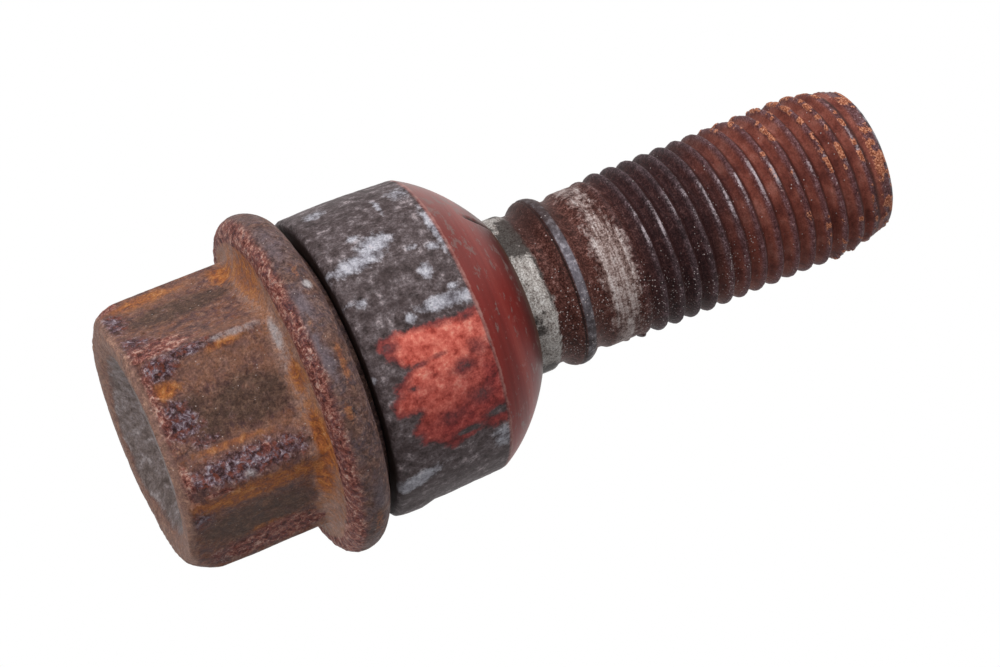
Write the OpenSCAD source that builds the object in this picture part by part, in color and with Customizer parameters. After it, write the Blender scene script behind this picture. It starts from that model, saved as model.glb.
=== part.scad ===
// Wheel bolt, M14 x 1.5, with a hexagon head on a round flange and a loose
// ball-seat collar that is held on the shank by a rolled bead. The bolt stands
// on the end of its head. The origin is the centre of that end, and +Z runs
// along the bolt's axis towards the tip.

/* [Hexagon head] */
// Width across the flats
hex_af = 19.3; // [17:0.1:22]
// Width across the blunted corners
hex_corner_d = 22; // [21.6:0.1:22.2]
// Height of the head, from its end to the face that carries the collar
head_h = 16.4; // [14:0.1:20]
// Radius that rounds the head's end over the corners
end_round_r = 2.1; // [1:0.1:3]
// Diameter of the round face at the head's end, inside that rounding
end_face_d = 18.1; // [17:0.1:18.6]
// Diameter of the shallow dish in the head's end
dish_d = 16; // [10:0.1:17]
// Depth of the dish at its centre
dish_depth = 1; // [0.3:0.1:2]

/* [Flange] */
// Outer diameter of the flange
flange_d = 28.4; // [26:0.1:32]
// Radius of the flange's edge towards the hexagon
flange_head_r = 1.5; // [0.8:0.1:2]
// Radius of the flange's edge towards the collar
flange_seat_r = 2.3; // [1.5:0.1:2.8]
// Height of the raised seat that carries the collar clear of the flange
seat_boss_h = 0.7; // [0.3:0.1:1.2]
// Diameter of that raised seat
seat_boss_d = 21.4; // [18:0.1:23]
// Radius of the turned fillet between the hexagon and the flange
foot_fillet_r = 2.9; // [1.8:0.1:3.2]
// Diameter where that fillet begins, just inside the flats
foot_d = 18.6; // [16:0.1:19]

/* [Shank and retaining bead] */
// Length from the flange's seat to the tip
shank_l = 48; // [42:0.5:60]
// Diameter of the plain shank
shank_d = 13.24; // [12.8:0.02:13.3]
// Radius of the fillet between the flange's seat and the shank
seat_fillet_r = 0.8; // [0.3:0.1:1]
// Diameter over the rolled bead
bead_d = 14.2; // [14:0.1:14.6]
// Radius of the bead's crest
bead_r = 1.3; // [1:0.1:1.6]
// Distance from the flange's seat to the middle of the bead
bead_pos = 19.4; // [19:0.1:21]
// Diameter at the bottom of the two grooves that the bead is rolled up from
groove_d = 12.62; // [12.4:0.02:12.7]
// Radius of the groove's floor
groove_r = 1.2; // [1:0.1:1.5]

/* [Thread] */
// Major diameter of the thread, as worn
thread_d = 13.9; // [13.7:0.05:14]
// Distance from the flange's seat to the first full turn
thread_pos = 25.6; // [24:0.1:28]
// Length of the run-out, where the crest rises from the shank
runout_l = 1.1; // [0.6:0.1:2]
// Length of the narrowing tip
tip_l = 4.9; // [2:0.1:6]
// Diameter at the tip's edge, before its rounding
tip_d = 12.2; // [11.8:0.1:12.8]
// Radius that rounds the tip's edge
tip_round_r = 0.8; // [0.3:0.1:1]

/* [Ball-seat collar] */
// Outer diameter of the collar
collar_d = 24.9; // [24:0.1:26]
// Length of the collar's cylindrical part
collar_wall_l = 9.5; // [8:0.1:10]
// Radius of the ball face that seats in the wheel
ball_r = 14; // [13:0.5:14.5]
// Diameter of the ball face's small end
nose_d = 14.5; // [14.2:0.1:15.4]
// Radial play between the collar's bore and the shank
bore_play = 0.2; // [0.1:0.05:0.3]
// Gap between the flange's seat and the collar's rear face
seat_gap = 0.1; // [0.1:0.1:0.5]
// Bevel on the collar's rear edge
collar_bevel = 0.4; // [0.2:0.1:0.8]
// Depth of the countersink that clears the seat fillet
countersink = 1.2; // [1.1:0.1:2]

/* [Hidden] */
$fn = 128;

// Depth to which one form is sunk into the next, so that they join
sink = 0.4;

// Flange: heights of the face round the raised seat, of the widest circle and of
// the face round the hexagon
seat_foot_z = head_h - seat_boss_h;
crest_z = seat_foot_z - flange_seat_r;
shoulder_z = crest_z - flange_head_r;

// Dish: radius of the sphere that leaves this diameter and depth
dish_sphere_r = (pow(dish_d / 2, 2) + pow(dish_depth, 2)) / (2 * dish_depth);

// Shank: heights above the head's end
bead_z = head_h + bead_pos;
groove_axis_r = groove_d / 2 + groove_r;
bead_axis_r = bead_d / 2 - bead_r;
// The groove's floor meets the bead's flank a little inside full contact
groove_offset = sqrt(pow(bead_r + groove_r, 2) - pow(groove_axis_r - bead_axis_r, 2)) - 0.12;
thread_z = head_h + thread_pos;
tip_z = head_h + shank_l;

// Collar: heights above the head's end
bore_d = shank_d + 2 * bore_play;
collar_z = head_h + seat_gap;
corner_z = collar_z + collar_wall_l;
// A ball that is narrower than the collar leaves a flat shoulder round its foot
ball_foot_r = min(ball_r, collar_d / 2);
ball_z = corner_z - sqrt(pow(ball_r, 2) - pow(ball_foot_r, 2));
nose_z = ball_z + sqrt(pow(ball_r, 2) - pow(nose_d / 2, 2));

// The hexagon's outline, with its corners blunted to a circle
module hex_outline() {
    intersection() {
        circle(r = hex_af / 2 / cos(30), $fn = 6);
        circle(d = hex_corner_d);
    }
}

// The turned envelope that rounds the end of the hexagon over its corners
module end_envelope() {
    rotate_extrude() {
        translate([end_face_d / 2, end_round_r])
            circle(r = end_round_r);
        square([end_face_d / 2, shoulder_z + sink]);
        translate([0, end_round_r])
            square([end_face_d / 2 + end_round_r, shoulder_z + sink - end_round_r]);
    }
}

// Half section of the fillet at the foot of the hexagon. It is turned, so it is
// widest at the middle of each flat and dies out at the corners.
module foot_section() {
    difference() {
        translate([0, shoulder_z - foot_fillet_r])
            square([foot_d / 2 + foot_fillet_r, foot_fillet_r + sink]);
        translate([foot_d / 2 + foot_fillet_r, shoulder_z - foot_fillet_r])
            circle(r = foot_fillet_r);
    }
}

// Half section of the flange: round at both edges, with a raised flat seat
module flange_section() {
    translate([0, shoulder_z])
        square([flange_d / 2 - flange_head_r, flange_head_r]);
    translate([0, crest_z])
        square([flange_d / 2 - flange_seat_r, flange_seat_r]);
    translate([0, crest_z])
        square([seat_boss_d / 2, flange_seat_r + seat_boss_h]);
    intersection() {
        translate([flange_d / 2 - flange_head_r, crest_z])
            circle(r = flange_head_r);
        translate([0, shoulder_z])
            square([flange_d, flange_head_r]);
    }
    intersection() {
        translate([flange_d / 2 - flange_seat_r, crest_z])
            circle(r = flange_seat_r);
        translate([0, crest_z])
            square([flange_d, flange_seat_r]);
    }
}

// Half section of the shank with its seat fillet, grooves and rolled bead
module shank_section() {
    difference() {
        translate([0, head_h - sink])
            square([shank_d / 2, thread_z - runout_l - head_h + 2 * sink]);
        for (side = [-1, 1])
            translate([groove_axis_r, bead_z + side * groove_offset])
                circle(r = groove_r);
    }
    translate([bead_axis_r, bead_z])
        circle(r = bead_r);
    difference() {
        translate([0, head_h - sink])
            square([shank_d / 2 + seat_fillet_r, seat_fillet_r + sink]);
        translate([shank_d / 2 + seat_fillet_r, head_h + seat_fillet_r])
            circle(r = seat_fillet_r);
    }
}

// Half section of the threaded length, out to the thread's crests, and the tip
module thread_section() {
    tip_round_z = tip_z - tip_round_r;
    tip_axis_r = tip_d / 2 - tip_round_r;
    polygon([
        [0, thread_z - runout_l],
        [shank_d / 2, thread_z - runout_l],
        [thread_d / 2, thread_z],
        [thread_d / 2, tip_z - tip_l],
        [tip_d / 2, tip_round_z],
        [0, tip_round_z]
    ]);
    translate([tip_axis_r, tip_round_z])
        circle(r = tip_round_r);
    translate([0, tip_round_z - sink])
        square([tip_axis_r, tip_round_r + sink]);
}

// Bolt: forged head and flange, shank, rolled bead and thread in one piece
module bolt() {
    color([0.42, 0.27, 0.20])
        difference() {
            union() {
                intersection() {
                    linear_extrude(shoulder_z + sink)
                        hex_outline();
                    end_envelope();
                }
                rotate_extrude() {
                    foot_section();
                    flange_section();
                    shank_section();
                    thread_section();
                }
            }
            translate([0, 0, dish_depth - dish_sphere_r])
                sphere(r = dish_sphere_r);
        }
}

// Loose collar: a plain cylinder with a ball-shaped nose and a through bore
module seat_collar() {
    color([0.33, 0.28, 0.28])
        rotate_extrude()
            difference() {
                union() {
                    translate([0, collar_z])
                        square([collar_d / 2, collar_wall_l]);
                    intersection() {
                        translate([0, ball_z])
                            circle(r = ball_r);
                        translate([0, corner_z - sink])
                            square([collar_d / 2, nose_z - corner_z + sink]);
                    }
                }
                translate([-sink, collar_z - sink])
                    square([bore_d / 2 + sink, nose_z - collar_z + 2 * sink]);
                translate([bore_d / 2, collar_z])
                    polygon([
                        [-sink, -sink],
                        [countersink + sink, -sink],
                        [-sink, countersink + sink]
                    ]);
                translate([collar_d / 2, collar_z])
                    polygon([
                        [-collar_bevel - sink, -sink],
                        [sink, -sink],
                        [sink, collar_bevel + sink]
                    ]);
            }
}

bolt();
seat_collar();
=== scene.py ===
"""The looks of a used M14 x 1.5 wheel bolt with its loose ball-seat collar.

Two pieces are worked out here on numpy grids, in millimetres, in the frame of the
CAD model: the bolt from its dished end to its tip, with the real helical thread,
and the collar. Both are turned round +Z. A place on them is given by its height z
and its turn: the turn is 0 at the side that faces the camera (-Y) and grows
towards -X, which is the upper side of the picture.
"""
import math

import bpy
import numpy as np
from mathutils import Matrix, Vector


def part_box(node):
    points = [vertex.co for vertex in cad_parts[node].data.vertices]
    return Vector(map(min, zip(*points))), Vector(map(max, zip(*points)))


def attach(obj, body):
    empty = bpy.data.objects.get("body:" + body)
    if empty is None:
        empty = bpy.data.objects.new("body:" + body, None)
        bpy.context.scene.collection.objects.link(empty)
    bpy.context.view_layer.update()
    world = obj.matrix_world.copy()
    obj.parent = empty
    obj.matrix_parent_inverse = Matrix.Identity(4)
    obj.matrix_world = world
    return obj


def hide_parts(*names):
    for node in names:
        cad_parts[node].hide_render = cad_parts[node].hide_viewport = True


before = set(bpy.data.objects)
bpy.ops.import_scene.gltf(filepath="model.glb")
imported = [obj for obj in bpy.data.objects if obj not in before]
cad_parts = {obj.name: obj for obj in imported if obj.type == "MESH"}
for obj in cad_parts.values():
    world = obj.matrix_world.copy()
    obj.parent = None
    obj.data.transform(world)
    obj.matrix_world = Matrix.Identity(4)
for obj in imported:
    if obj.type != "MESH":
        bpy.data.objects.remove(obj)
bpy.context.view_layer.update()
MM = 0.001

# Sizes, in mm
bolt_high = np.array(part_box("bolt")[1]) / MM
collar_low, collar_high = [np.array(corner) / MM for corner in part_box("seat_collar")]

# Head and flange
HEX_FLAT = 9.68           # centre to flat
HEX_CORNER_ROUND = 0.3    # radius that years of sockets have left on the corners
END_FACE = 9.35           # radius of the end face, as worn
END_ROUND = 2.5           # height of the end's rounding over the corners
END_ROUND_OUT = 1.8       # how far that rounding reaches outwards
END_EDGE = 0.3            # the same over the flats: outwards and in height
END_EDGE_H = 0.6
KEPT_CORNERS = [(90, 0.3), (152, 0.45)]    # turns of two less worn corners, extra radius
DISH = 8.0                # radius of the dish
DISH_DEPTH = 1.0
LIP = 8.9                 # radius at which the dish's lip is lowest
FLAT_HOLLOW = 0.1         # how far the middle of each flat has sunk
HEAD_H = 16.4             # end of the head to the seat of the flange
FLANGE = bolt_high[1]     # radius of the flange
FLANGE_HEAD_R = 1.5
FLANGE_SEAT_R = 2.3
SEAT_BOSS_H = 0.7         # raised seat that carries the collar
SEAT_BOSS = 10.7
FOOT_R = 2.9              # fillet between the flats and the flange
FOOT = 9.3                # radius where that fillet begins
CREST_Z = HEAD_H - SEAT_BOSS_H - FLANGE_SEAT_R    # the flange's widest circle
SHOULDER_Z = CREST_Z - FLANGE_HEAD_R
HIDDEN_Z = 20             # height under the collar where the shank's finish begins

# Shank and bead
SHANK = 6.62              # radius of the plain shank
SEAT_FILLET = 0.8
BEAD_Z = 35.8
BEAD = 7.1                # radius over the bead, and of the bead's own crest
BEAD_R = 1.3
FOLD_Z = BEAD_Z - 0.27    # fold in the bead's flank
GROOVE = 6.31             # radius at the floor of the grooves beside the bead
GROOVE_R = 1.2
GROOVE_OFFSET = 1.704
FIRST_LAND = 32.0         # middles of the bare lands before and after the bead
SECOND_LAND = 39.4

# Thread and tip
PITCH = 1.5
CREST = 6.95              # radii at the thread's crests and roots
ROOT = 6.2
CREST_AT = 42.198         # height of a crest at turn 90
RUNOUT_FROM, RUNOUT_TO = 39.6, 42.4
TIP_FROM, TIP_TO = 62.2, 64.0    # heights between which the turns sink into the tip
TIP_ROUND = 0.8
TIP_Z = bolt_high[2]

# Collar
COLLAR = collar_high[1]   # radius of its cylinder
COLLAR_Z = collar_low[2]
COLLAR_WALL = 9.5         # length of its cylinder
BALL_R = 14.0
BALL_Z = COLLAR_Z + COLLAR_WALL - math.sqrt(BALL_R ** 2 - COLLAR ** 2)
CORNER_Z = COLLAR_Z + COLLAR_WALL + 0.15    # its worn corner towards the ball
CORNER = math.sqrt(BALL_R ** 2 - (CORNER_Z - BALL_Z) ** 2)
NOSE = 7.25               # radius of the ball's small end
NOSE_Z = collar_high[2]
BORE = 6.82
COUNTERSINK = 1.2
COLLAR_BEVEL = 0.3
NOSE_ROUND = 0.17         # rounding of the small end, outside and at the bore
BORE_ROUND = 0.12
BALL_WEAR = 0.17          # how far the ball has worn in towards its small end
COLLAR_SWELL = 0.1        # how far the cylinder bulges near its rear


# Small mathematics
def smooth(low, high, value):
    """Soft step from 0 at low to 1 at high: t squared times (3 - 2t)."""
    t = np.clip((value - low) / (high - low), 0, 1)
    return t * t * (3 - 2 * t)


def soft_min(a, b, width):
    """The lower of a and b, with the corner between them rounded over this width."""
    h = np.clip(0.5 + 0.5 * (b - a) / width, 0, 1)
    return b + (a - b) * h - width * h * (1 - h)


def soft_max(a, b, width):
    """The higher of a and b, with the corner between them rounded over this width."""
    return -soft_min(-a, -b, width)


# The lattice starts far enough out for every cell to have a number above zero.
# Large odd numbers scatter the values of its cells and seeds
LATTICE_START = 1000.5
CELL_SCATTER = np.array([73856093, 19349663, 83492791])
SEED_SCATTER = 40503
VALUE_SCATTER = [(15, 739982445), (13, 695872825)]


def lumps(points, size, seed):
    """Random relief of about -1 to 1: the random values at the corners of a cubic
    lattice of this size, blended across each cell by its smoothed fractions."""
    scaled = points / size + LATTICE_START
    cell = np.floor(scaled).astype(np.int64)
    part = scaled - cell
    part = part * part * (3 - 2 * part)
    total = np.zeros(points.shape[:-1])
    for corner in range(8):
        step = np.array([corner & 1, corner >> 1 & 1, corner >> 2 & 1])
        key = (cell + step) * CELL_SCATTER
        key = (key[..., 0] ^ key[..., 1] ^ key[..., 2] ^ seed * SEED_SCATTER) & 0xFFFFFFFF
        for shift, scatter in VALUE_SCATTER:
            key = ((key ^ (key >> shift)) * scatter) & 0xFFFFFFFF
        value = ((key ^ (key >> 16)) & 0xFFFF) / 32767.5 - 1
        total += value * np.where(step == 1, part, 1 - part).prod(-1)
    return total


def layered(points, size, seed, layers=3):
    """Lumps of this size with finer lumps laid on them, each half as large and
    a little over half as high, brought back to about -1 to 1."""
    total, height = 0, 1.0
    for layer in range(layers):
        total = total + height * lumps(points, size / 2 ** layer, seed + layer)
        height *= 0.55
    return total / 1.6


def arc_line(centre_r, centre_z, radius, start, end, count):
    """Part of a turned profile: count points of a circle from angle start to end,
    in degrees, where 0 points outwards and 90 to the tip. Columns are r and z."""
    angle = np.radians(np.linspace(start, end, count))
    return np.stack([centre_r + radius * np.cos(angle), centre_z + radius * np.sin(angle)], 1)


def straight(start, end, count):
    """Part of a turned profile: count points on the line from start to end."""
    return np.linspace(start, end, count)


def turned(radius, height, angle):
    """Carries a profile round the axis: x = r cos a, y = r sin a, z = height."""
    return np.stack([radius * np.cos(angle), radius * np.sin(angle), height + 0 * angle], -1)


def turn_of(angle):
    """The turn, in degrees from -180 to 180, of an angle from +X in radians."""
    return (270 - np.degrees(angle) + 180) % 360 - 180


def outward(points):
    """Unit normals of a grid that closes round its columns: the cross product of
    the differences along its columns and along its rows."""
    along = np.roll(points, -1, 1) - np.roll(points, 1, 1)
    up = np.gradient(points, axis=0)
    normal = np.cross(along, up)
    return normal / np.maximum(np.linalg.norm(normal, axis=-1, keepdims=True), 1e-9)


def spot(z, across, centre_z, centre_across, half_z, half_across, lean=0.0, edge=0.3):
    """A soft patch: 1 inside an ellipse and 0 outside it. The ellipse leans by
    this many mm across for each mm along z."""
    dz = (z - centre_z) / half_z
    da = (across - centre_across - lean * (z - centre_z)) / half_across
    return smooth(1 + edge, 1 - edge, np.sqrt(dz * dz + da * da))


def patches(z, turn, radius, places, edge=0.6):
    """Soft patches laid over one another. Each place is its height, its turn, half
    its height, half its width along the arc, its strength and, for some, its lean."""
    total = np.zeros(z.shape)
    for centre_z, place, half_z, half_arc, strength, *lean in places:
        across = np.radians((turn - place + 180) % 360 - 180) * radius
        patch = spot(z, across, centre_z, 0, half_z, half_arc, lean[0] if lean else 0.0, edge)
        total = np.maximum(total, strength * patch)
    return total


def field(distance, width=0.6):
    """A soft field from a distance in mm that is negative inside a form: 1 well
    inside, 0.5 on its edge, 0 well outside."""
    return np.clip(0.5 - distance / (2 * width), 0, 1)


def inside(z, across, outline):
    """Distance in mm to a closed outline, positive inside: the least distance to
    its sides, with the sign from the number of sides crossed on the way out."""
    near = np.full(z.shape, 1e9)
    odd = np.zeros(z.shape, bool)
    for (z0, a0), (z1, a1) in zip(outline, outline[1:] + outline[:1]):
        t = (z - z0) * (z1 - z0) + (across - a0) * (a1 - a0)
        t = np.clip(t / ((z1 - z0) ** 2 + (a1 - a0) ** 2), 0, 1)
        near = np.minimum(near, np.hypot(z - z0 - t * (z1 - z0), across - a0 - t * (a1 - a0)))
        crosses = (a0 > across) != (a1 > across)
        odd ^= crosses & (z < (z1 - z0) * (across - a0) / ((a1 - a0) or 1e-9) + z0)
    return np.where(odd, near, -near)


# Grids to meshes
def link_up(name, data):
    """Puts new data into the scene as an object."""
    thing = bpy.data.objects.new(name, data)
    bpy.context.scene.collection.objects.link(thing)
    return thing


def skin(name, bands, marks, ring=False):
    """Makes a mesh of bands of points. Each band is a grid that closes round its
    columns. Where the next band has half the columns, a strip of three triangles
    a column joins them. The first and last rows close in a pole, or, for a ring,
    the last row joins the first. Marks are one value a point, kept by name."""
    points = np.concatenate([band.reshape(-1, 3) for band in bands])
    quads, threes, start = [], [], 0
    for at, band in enumerate(bands):
        rows, columns = band.shape[:2]
        index = start + np.arange(rows * columns).reshape(rows, columns)
        if ring:
            index = np.vstack([index, index[:1]])
        right = np.roll(index, -1, 1)
        quads.append(np.stack([index[:-1], right[:-1], right[1:], index[1:]], -1).reshape(-1, 4))
        if at + 1 < len(bands):
            fine, fine_right = index[-1, 0::2], index[-1, 1::2]
            coarse = start + rows * columns + np.arange(columns // 2)
            threes.append(np.stack([fine, fine_right, coarse], 1))
            threes.append(np.stack([fine_right, np.roll(coarse, -1), coarse], 1))
            threes.append(np.stack([fine_right, np.roll(fine, -1), np.roll(coarse, -1)], 1))
        start += rows * columns
    if not ring:
        first = np.arange(bands[0].shape[1])
        last = start - bands[-1].shape[1] + np.arange(bands[-1].shape[1])
        threes.append(np.stack([np.full_like(first, start), np.roll(first, -1), first], 1))
        threes.append(np.stack([np.full_like(last, start + 1), last, np.roll(last, -1)], 1))
        points = np.vstack([points, points[first].mean(0), points[last].mean(0)])
        marks = {key: np.concatenate([values, [values[first].mean(), values[last].mean()]])
                 for key, values in marks.items()}
    quads = np.concatenate(quads)
    threes = np.concatenate(threes) if threes else np.zeros((0, 3), int)
    corners = np.concatenate([quads.ravel(), threes.ravel()])
    sizes = np.concatenate([np.full(len(quads), 4), np.full(len(threes), 3)])
    mesh = bpy.data.meshes.new(name)
    mesh.vertices.add(len(points))
    mesh.vertices.foreach_set("co", (points * MM).ravel())
    mesh.loops.add(len(corners))
    mesh.loops.foreach_set("vertex_index", corners)
    mesh.polygons.add(len(sizes))
    mesh.polygons.foreach_set("loop_start", np.concatenate([[0], np.cumsum(sizes)[:-1]]))
    mesh.update(calc_edges=True)
    mesh.validate()
    mesh.polygons.foreach_set("use_smooth", np.ones(len(sizes), bool))
    for key, values in marks.items():
        mark = mesh.attributes.new(key, "FLOAT", "POINT")
        mark.data.foreach_set("value", values.astype(np.float32))
    return link_up(name, mesh)


# The bolt
SECTOR_COLUMNS = 60       # columns of the head's grid to each flat
SHANK_COLUMNS = 3 * SECTOR_COLUMNS    # half as many as the head has


def head_angles():
    """Columns of the head, closer together towards the corners of each flat, by a
    blend of the even step with the sine of it. Returns the angle from +X and the
    angle from the middle of the nearest flat."""
    t = -1 + 2 * np.arange(SECTOR_COLUMNS) / SECTOR_COLUMNS
    from_flat = np.radians(30) * (0.45 * t + 0.55 * np.sin(np.pi * t / 2))
    flats = np.radians(30 + 60 * np.arange(6))
    angle = (flats[:, None] + from_flat[None]).ravel()
    return angle, np.tile(from_flat, 6)


def hex_radius(from_flat, flat, corner):
    """Polar radius of a hexagon with rounded corners: flat / cos(a) along a flat,
    and past the tangent point the far crossing with the corner's own circle."""
    centre = (flat - corner) / math.cos(math.radians(30))
    tangent = math.atan2(centre * 0.5, flat)
    beta = math.radians(30) - np.abs(from_flat)
    along = flat / np.cos(from_flat)
    reach = np.sqrt(np.maximum(corner ** 2 - (centre * np.sin(beta)) ** 2, 0))
    rounded = centre * np.cos(beta) + reach
    return np.where(np.abs(from_flat) < tangent, along, rounded)


def head_band():
    """The head and flange as one grid. The dish is a shallow parabola, its lip a
    soft roll; the sides are the hexagon's polar radius, held under the turned
    rounding of the end and over the turned fillet of the foot; the flange is
    two quarter circles. Returns the points and the marks of each region."""
    angle, from_flat = [values[None] for values in head_angles()]
    hexagon = hex_radius(from_flat, HEX_FLAT, HEX_CORNER_ROUND)

    # The dish's rows lie closer together towards its lip
    rows_r = np.concatenate([np.linspace(0.5, 7.0, 10), np.linspace(7.3, 8.7, 9)])[:, None]
    dish_r = rows_r / rows_r[-1] * (np.minimum(END_FACE, hexagon - END_EDGE) - 0.12)
    dish_z = DISH_DEPTH * (1 - (dish_r / DISH) ** 2)
    dish_z = soft_max(dish_z, 0.1 * ((dish_r - LIP) / 0.7) ** 2, 0.14)
    dish = turned(dish_r, dish_z, angle)

    fillet_z = SHOULDER_Z - FOOT_R
    rows_z = np.concatenate([
        END_ROUND * (1 - np.cos(np.radians(np.linspace(0, 90, 13)))),
        np.linspace(END_ROUND + 0.25, 8.8, 25),
        fillet_z + FOOT_R * np.sin(np.radians(np.linspace(0, 88, 19))),
    ])[:, None]
    from_middle = np.abs(from_flat) / np.radians(30)
    hexagon = hexagon - FLAT_HOLLOW * smooth(1.0, 0.3, from_middle) * smooth(0.5, 3.5, rows_z)
    over_corner = END_FACE + END_ROUND_OUT * np.sqrt(np.clip(rows_z, 0, END_ROUND) / END_ROUND)
    kept = sum(extra * np.exp(-((turn_of(angle) - turn) / 10) ** 2) for turn, extra in KEPT_CORNERS)
    over_corner = over_corner + kept * smooth(0.0, 0.35, rows_z)
    rise = 1 - np.clip(rows_z, 0, END_EDGE_H) / END_EDGE_H
    over_flat = hexagon - END_EDGE + END_EDGE * np.sqrt(1 - rise ** 2)
    side_r = soft_min(over_flat, over_corner, 0.35 * smooth(0, 0.5, rows_z) + 0.01)
    climb = np.clip(rows_z - fillet_z, 0, FOOT_R)
    foot = FOOT + FOOT_R - np.sqrt(np.maximum(FOOT_R ** 2 - climb ** 2, 0))
    side_r = soft_max(side_r, foot, 0.5)
    sides = turned(side_r, rows_z, angle)

    rim = np.concatenate([
        straight((FOOT + FOOT_R, SHOULDER_Z), (FLANGE - FLANGE_HEAD_R, SHOULDER_Z), 3),
        arc_line(FLANGE - FLANGE_HEAD_R, CREST_Z, FLANGE_HEAD_R, -82, 0, 11),
        arc_line(FLANGE - FLANGE_SEAT_R, CREST_Z, FLANGE_SEAT_R, 5, 90, 15),
        straight((SEAT_BOSS, HEAD_H - SEAT_BOSS_H), (SEAT_BOSS, HEAD_H - 0.05), 3),
        straight((SEAT_BOSS - 0.1, HEAD_H), (SHANK + SEAT_FILLET, HEAD_H), 3),
        arc_line(SHANK + SEAT_FILLET, HEAD_H + SEAT_FILLET, SEAT_FILLET, -120, -180, 3),
    ])
    flange = turned(rim[:, :1], rim[:, 1:], angle)
    points = np.concatenate([dish, sides, flange])

    rows = np.arange(len(points))[:, None]
    end = (rows < len(dish)).astype(float)
    side = ((rows >= len(dish) + 4) & (rows < len(dish) + len(sides) - 8)).astype(float)
    marks = head_marks(points, angle, from_flat, end, side)

    z, radius = points[..., 2], np.hypot(points[..., 0], points[..., 1])
    rough = np.maximum(marks["speckled"], marks["lip"] * 0.7)
    rough = 0.25 + 0.75 * np.maximum(marks["pitted"], rough)
    rough = rough * (1 - 0.6 * marks["panel"]) * (1 - 0.4 * marks["rim"])
    relief = 0.075 * rough * layered(points, 0.9, 11) + 0.05 * rough * lumps(points, 0.33, 17)
    bumps = 0.09 * lumps(points, 3.6, 23) * np.where(end > 0, 0.6, 1)
    relief = relief + bumps * smooth(HEAD_H - 0.75, HEAD_H - 1.2, z)
    # The flange grows no wider than its true circle
    room = np.where(z > 12.4, 0.0, 1.0) + np.maximum(0, FLANGE - 0.02 - radius)
    points = points + outward(points) * np.minimum(relief, room)[..., None]
    points[..., 2] = np.maximum(points[..., 2], 0.0)
    return points, marks


def head_marks(points, angle, from_flat, end, side):
    """Where each finish lies on the head, from 0 to 1 at each point. End and side
    are 1 on the rows of the dished end and of the flats."""
    z, radius = points[..., 2], np.hypot(points[..., 0], points[..., 1])
    turn = turn_of(angle) + 0 * z
    across = HEX_FLAT * np.tan(from_flat) + 0 * z
    wander = lumps(points, 1.3, 3) * 0.5 + lumps(points, 0.5, 5) * 0.3
    wide = lumps(points, 4.0, 7)

    marks = {}
    # Away from the picture each flat has a dark panel between orange bands and
    # pitted ridges; on the side that the picture shows they lie where it has them
    away = smooth(96, 108, np.abs(turn))
    edge = np.maximum(np.abs(across - 0.2) - 2.1, np.maximum(1.9 - z, z - 10.6))
    marks["panel"] = away * field(edge - 0.45 * wide - 0.25 * wander, 0.7)
    ridge = 5.6 - np.abs(across)
    marks["pitted"] = away * field(ridge - 1.9 - 0.9 * wide, 0.8) * smooth(11.4, 10.2, z + 0.3 * wander)
    band = np.exp(-((np.abs(across) - 3.1 - 0.5 * wide) / 0.9) ** 2)
    marks["orange"] = away * band * smooth(-0.9, 0.6, wide)
    for key, places in HEAD_PATCHES.items():
        near = (1 - away) * patches(z, turn, radius, places)
        marks[key] = np.maximum(marks.get(key, 0), near)
        marks[key] = marks[key] * (np.maximum(side, z > 9) if key == "orange" else side)
    body = 1 - end
    inner, outer = radius + 0.2 * wander, z + 0.3 * wander
    marks["hollow"] = smooth(9.9, 11.2, z + 0.4 * wander) * smooth(12.9, 12.3, inner) * body
    ring = smooth(12.2, 12.7, inner) * smooth(13.5, 12.7, outer) * body
    marks["speckled"] = np.maximum(ring, marks.pop("raw"))
    marks["rim"] = smooth(12.4, 13.2, z + 0.25 * wander) * body
    tint = patches(z, turn, radius, RIM_LILAC) - patches(z, turn, radius, RIM_ORANGE)
    marks["rim_tint"] = marks["rim"] * tint
    # On the near side the grey of the dish runs out to the very edge
    reach = 7.4 + 1.95 * smooth(48, 22, np.abs(turn)) + 0.5 * smooth(30, 0, np.abs(np.abs(turn) - 165))
    marks["dish"] = field(radius - reach + 0.3 * wander, 0.4) * end
    lip = smooth(-0.2, 0.4, radius - reach) * end + smooth(0.8, 0.3, z) * body
    marks["lip"] = np.clip(lip, 0, 1)
    marks["worn"] = patches(z, turn, radius, HEAD_SMEARS, 0.5)
    return marks


# Whitish, rubbed places on the head: z, turn, half height, half arc, strength
HEAD_SMEARS = [
    (8.1, 29.5, 2.4, 0.3, 0.62), (9.9, 28.6, 1.0, 0.25, 0.5), (11.35, 22.0, 0.36, 1.4, 0.95),
    (11.2, 11.0, 0.45, 0.9, 0.5), (14.6, 28.5, 0.36, 0.42, 1.2), (5.6, -27.5, 0.5, 0.35, 0.7),
    (8.8, 150.0, 1.4, 0.3, 0.7), (11.3, -118.0, 0.4, 1.1, 0.8), (4.4, -152.0, 1.2, 0.35, 0.6),
    (14.6, 118.0, 0.5, 0.7, 0.7), (6.2, 91.0, 1.6, 0.3, 0.5),
]

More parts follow.
